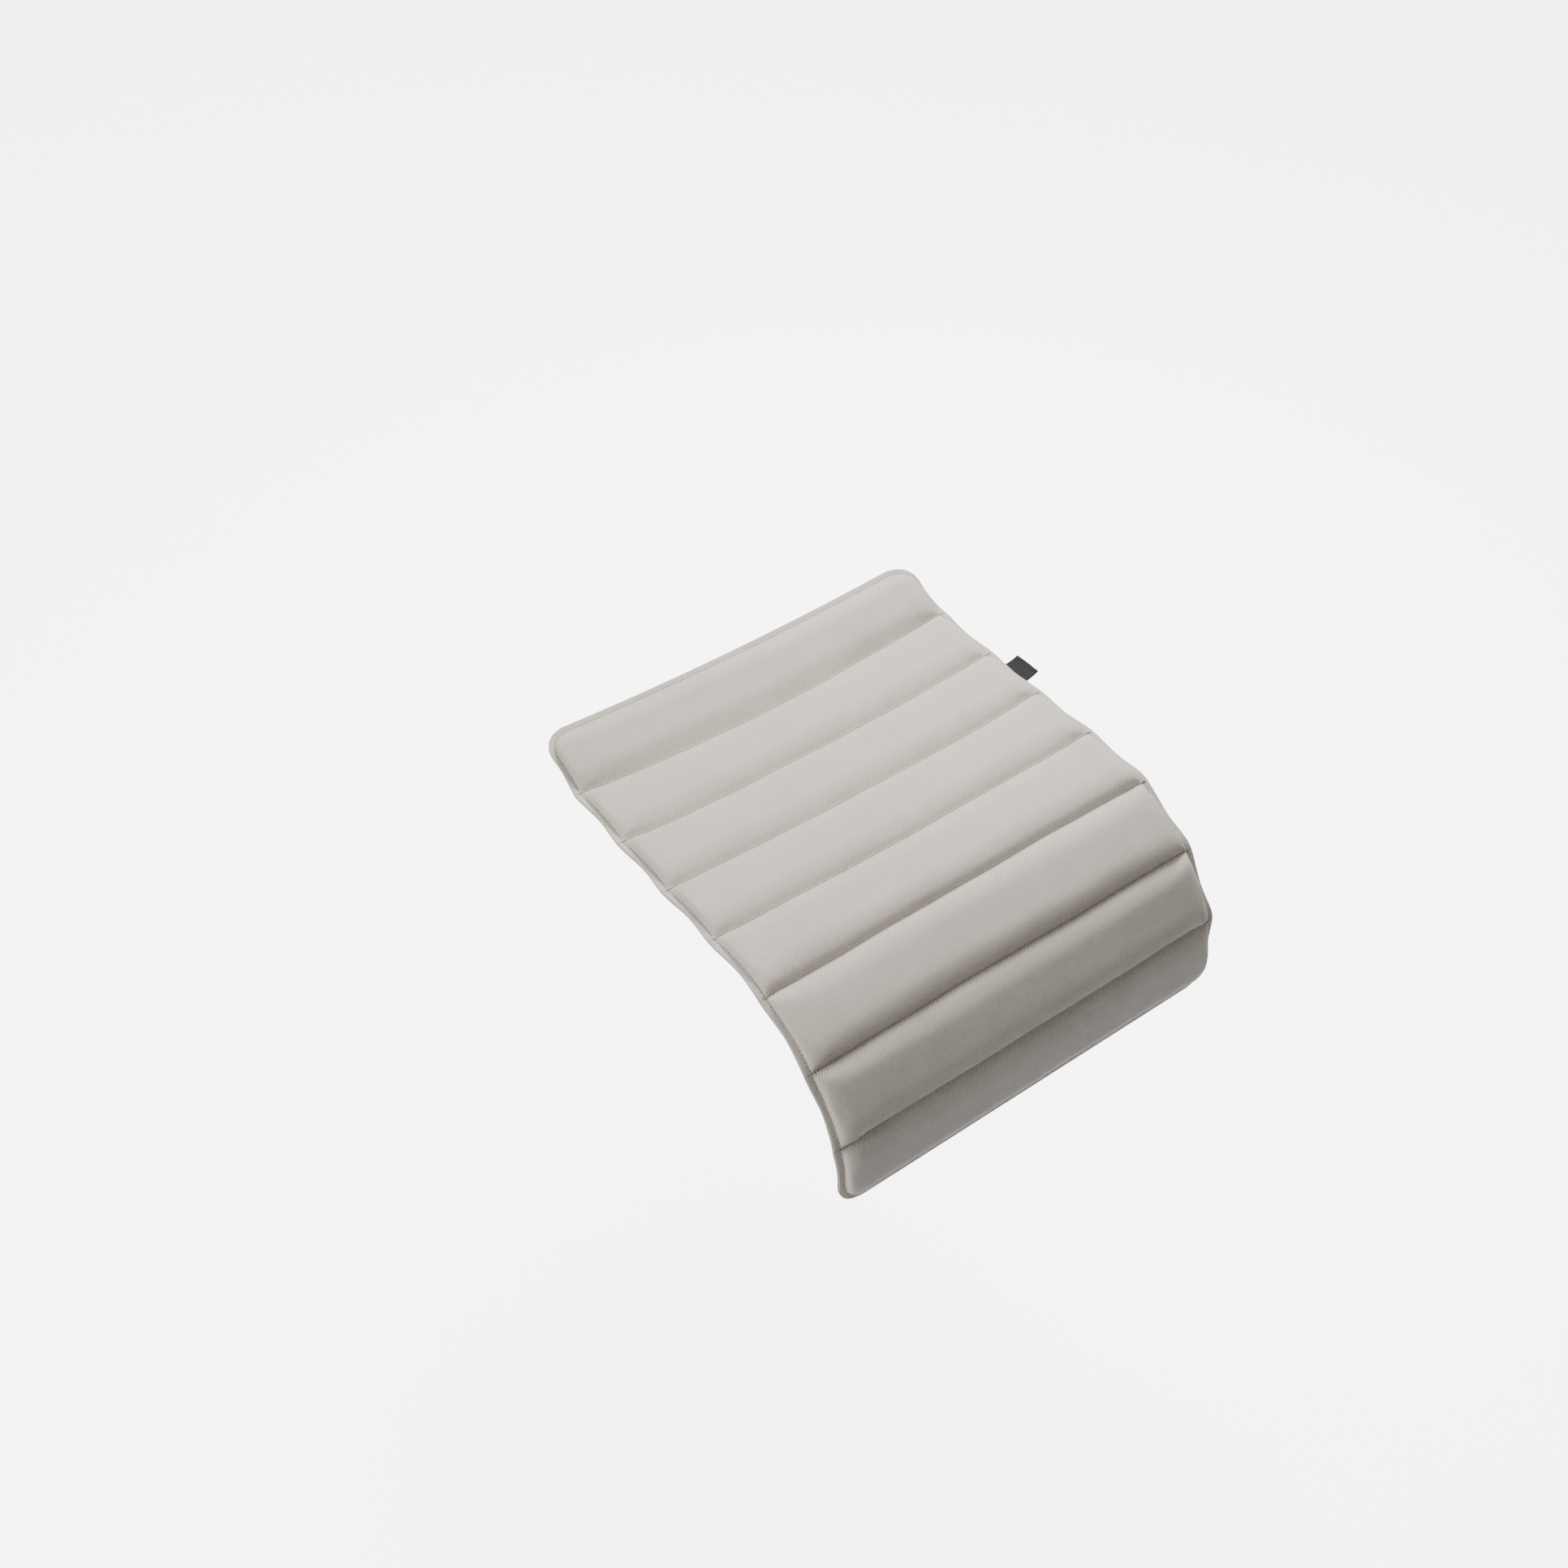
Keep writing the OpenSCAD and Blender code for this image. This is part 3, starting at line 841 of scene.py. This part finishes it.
def twill(name, dark, light, angle, rib, float_pitch, sheen):
    """Twill: raised diagonal ribs of short yarn floats, with mixed light and dark fibres."""
    m = Shader(name, 0.9, sheen, 0.45, 0.3)
    along, across = m.turned(angle)
    waver = m.math("MULTIPLY_ADD", m.noise(m.cloth, 90, 3), 0.0008, across)
    waver = m.math("MULTIPLY_ADD", m.noise(m.cloth, 650, 2), 0.0009, waver)
    ribs = m.wave(waver, rib)
    float_at = m.math("MULTIPLY_ADD", across, 0.6, along)
    floats = m.wave(float_at, float_pitch)
    fibre = m.noise(m.cloth, 1500, 3)
    patch = m.noise(m.place, 22, 3)
    yarn = m.math("MULTIPLY", ribs, floats)
    height = m.math("MULTIPLY_ADD", yarn, 0.40, m.math("MULTIPLY", ribs, 0.28))
    height = m.math("MULTIPLY_ADD", fibre, 0.85, height)
    tone = m.math("MULTIPLY_ADD", height, 0.85, m.math("MULTIPLY", patch, 0.24))
    roughness = m.math("MULTIPLY_ADD", height, -0.12, 0.95)
    near, pucker, hole_shade = m.seam_marks()
    # Painted shade: the cloth is darkened beside each quilting seam, in its groove
    color = m.darken(m.ramp(tone, dark, light), m.math("MULTIPLY", near, 0.28), (0.55, 0.54, 0.53))
    # Painted shade in the needle holes: small dark dots along each seam
    color = m.darken(color, hole_shade, (0.25, 0.23, 0.21))
    height = m.math("MULTIPLY_ADD", pucker, 0.8, height)
    return m.finish(color, height, 0.0003, 1.0, roughness)


def plain_weave(name, dark, light, pitch, sheen=0.1, depth=0.00015):
    """Plain weave: crossing yarns, with soft variation of colour."""
    m = Shader(name, 0.9, sheen, 0.5, 0.3)
    along, across = m.turned(0.0)
    warp = m.wave(along, pitch)
    weft = m.wave(across, pitch * 0.9)
    weave = m.math("MULTIPLY_ADD", warp, 0.5, m.math("MULTIPLY", weft, 0.5))
    fibre = m.noise(m.cloth, 2200, 2)
    height = m.math("MULTIPLY_ADD", fibre, 0.3, weave)
    tone = m.math("MULTIPLY_ADD", m.noise(m.place, 30, 3), 0.4, m.math("MULTIPLY", height, 0.5))
    roughness = m.math("MULTIPLY_ADD", height, -0.1, 0.95)
    return m.finish(m.ramp(tone, dark, light), height, depth, 0.8, roughness)


def foam_material():
    """Open-cell foam: small pits of mixed size."""
    m = Shader("foam", 0.95, 0.05, 0.5, 0.2)
    cells = m.node("ShaderNodeTexVoronoi", {"Vector": m.place, "Scale": 900.0}).outputs["Distance"]
    big = m.noise(m.place, 60, 4)
    height = m.math("MULTIPLY_ADD", big, 0.5, cells)
    return m.finish(m.ramp(height, (0.62, 0.58, 0.46), (0.86, 0.83, 0.74)), height, 0.0003)


def thread_material():
    """Twisted polyester thread: two plies winding round each other."""
    m = Shader("thread", 0.6, 0.15, 0.4, 0.45)
    parts = m.node("ShaderNodeSeparateXYZ", {"Vector": m.cloth})
    wound = m.math("MULTIPLY_ADD", parts.outputs["X"], 1 / 0.0007, parts.outputs["Y"])
    plies = m.wave(wound, 0.5)
    each = m.noise(m.place, 700, 1)
    tone = m.math("MULTIPLY_ADD", plies, 0.6, m.math("MULTIPLY", each, 0.4))
    return m.finish(m.ramp(tone, (0.14, 0.128, 0.115), (0.33, 0.305, 0.28)), plies, 0.0001)


def label_material():
    """Black damask tape: fine ribs across its width."""
    m = Shader("label_tape", 0.65, 0.0, 0.4, 0.25)
    parts = m.node("ShaderNodeSeparateXYZ", {"Vector": m.cloth})
    ribs = m.wave(parts.outputs["X"], 0.0005)
    yarn = m.wave(parts.outputs["Y"], 0.0004)
    height = m.math("MULTIPLY_ADD", yarn, 0.4, ribs)
    tone = m.math("MULTIPLY_ADD", m.noise(m.cloth, 1500, 2), 0.5, m.math("MULTIPLY", height, 0.4))
    return m.finish(m.ramp(tone, (0.003, 0.003, 0.0035), (0.016, 0.016, 0.018)), height, 0.0001)


def dress(obj, material):
    """Gives the whole of a piece one material."""
    obj.data.materials.clear()
    obj.data.materials.append(material)


# ---- Camera, floor and light ----
def add_camera():
    """The photograph's view: its place and its direction, with no shift."""
    data = bpy.data.cameras.new("camera")
    data.sensor_width = 36
    data.lens = CAMERA_LENS
    data.dof.use_dof = False
    camera = bpy.data.objects.new("camera", data)
    camera.location = CAMERA_AT
    flat = math.cos(CAMERA_DOWN)
    look = Vector((math.sin(CAMERA_TURN) * flat, math.cos(CAMERA_TURN) * flat, -math.sin(CAMERA_DOWN)))
    camera.rotation_euler = look.to_track_quat("-Z", "Y").to_euler()
    bpy.context.scene.collection.objects.link(camera)
    bpy.context.scene.camera = camera


def add_floor():
    """A plain pale floor, as far below the pad as a chair's seat is high."""
    corners = [(-FLOOR_HALF, -FLOOR_HALF, FLOOR_Z), (FLOOR_HALF, -FLOOR_HALF, FLOOR_Z),
               (FLOOR_HALF, FLOOR_HALF, FLOOR_Z), (-FLOOR_HALF, FLOOR_HALF, FLOOR_Z)]
    floor = mesh_object("floor", corners, [(0, 1, 2, 3)])
    m = Shader("floor", 0.8)
    m.surface.inputs["Base Color"].default_value = (0.93, 0.93, 0.93, 1)
    m.surface.inputs["Emission Color"].default_value = (1, 1, 1, 1)
    m.surface.inputs["Emission Strength"].default_value = FLOOR_GLOW
    dress(floor, m.material)
    floor.visible_diffuse = False


def add_lamp(name, at, size, power, color):
    """A round soft lamp that shines at the middle of the pad."""
    data = bpy.data.lights.new(name, "AREA")
    data.shape = "DISK"
    data.size = size
    data.energy = power
    data.color = color
    lamp = bpy.data.objects.new(name, data)
    lamp.location = at
    lamp.rotation_euler = (-Vector(at)).to_track_quat("-Z", "Y").to_euler()
    bpy.context.scene.collection.objects.link(lamp)


def add_light():
    """A sky that is brighter towards one side, shown plain to the camera, and the lamps."""
    world = bpy.data.worlds.new("studio")
    world.use_nodes = True
    tree = world.node_tree
    way = tree.nodes.new("ShaderNodeTexCoord")
    facing = tree.nodes.new("ShaderNodeVectorMath")
    facing.operation = "DOT_PRODUCT"
    facing.inputs[1].default_value = Vector(SKY_FROM).normalized()
    strength = tree.nodes.new("ShaderNodeMapRange")
    strength.interpolation_type = "SMOOTHSTEP"
    strength.inputs["From Min"].default_value = -0.5
    strength.inputs["To Min"].default_value = SKY_DARK
    strength.inputs["To Max"].default_value = SKY_BRIGHT
    seen = tree.nodes.new("ShaderNodeLightPath")
    shown = tree.nodes.new("ShaderNodeMath")
    shown.operation = "MAXIMUM"
    sky = tree.nodes["Background"]
    sky.inputs["Color"].default_value = (1, 1, 1, 1)
    tree.links.new(way.outputs["Generated"], facing.inputs[0])
    tree.links.new(facing.outputs["Value"], strength.inputs["Value"])
    tree.links.new(strength.outputs["Result"], shown.inputs[0])
    tree.links.new(seen.outputs["Is Camera Ray"], shown.inputs[1])
    tree.links.new(shown.outputs[0], sky.inputs["Strength"])
    bpy.context.scene.world = world
    for lamp in LAMPS:
        add_lamp(*lamp)


add_camera()
add_floor()
add_light()

TOP_CLOTH = twill("top_cloth", (0.23, 0.206, 0.178), (0.64, 0.581, 0.510),
                  RIB_ANGLE, RIB, FLOAT_PITCH, 0.12)
# The backing cloth is coloured darker than the top cloth: partly its own plainer grey, partly painted
# shade for the pad's underside
UNDER_CLOTH = plain_weave("under_cloth", (0.24, 0.22, 0.20), (0.46, 0.43, 0.40), 0.0009)
FOAM = foam_material()
THREAD = thread_material()
LABEL = label_material()

top = cover("cover_top", top_face, 1, "top_cover")
under = cover("cover_under", under_face, -1, "bottom_cover")
dress(top, TOP_CLOTH)
dress(under, UNDER_CLOTH)

for k in range(1, CHANNELS + 1):
    strip = foam_strip(k)
    dress(strip, FOAM)

for k in range(1, CHANNELS):
    for side, word in ((1, "needle"), (-1, "bobbin")):
        stitches = quilt_stitches(k, side)
        thread(f"quilting_{word}_{k}", stitches, THREAD_R, f"quilt_{word}_thread_{k}")
for side, word in ((1, "needle"), (-1, "bobbin")):
    height = side * (HEM_HI - STITCH_DIP + THREAD_R * plunge(STITCH_POINTS))
    stitches = edge_stitches(STITCH_OUT, STITCH_LEN, height)
    thread(f"edging_{word}", stitches, THREAD_R, f"edge_{word}_thread")

joining = edge_stitches(FIELD_IN - JOINING_IN, JOINING_LEN, 0.0)
from_label = np.abs(joining[:, STITCH_POINTS // 2, 1] - label_place()[0])
at_label = (joining[:, 0, 0] > 0) & (from_label < LABEL_W / 2 + JOINING_CLEAR)
thread("joining", joining[~at_label], JOINING_R, "joining_thread")

tape = side_label()
dress(tape, LABEL)
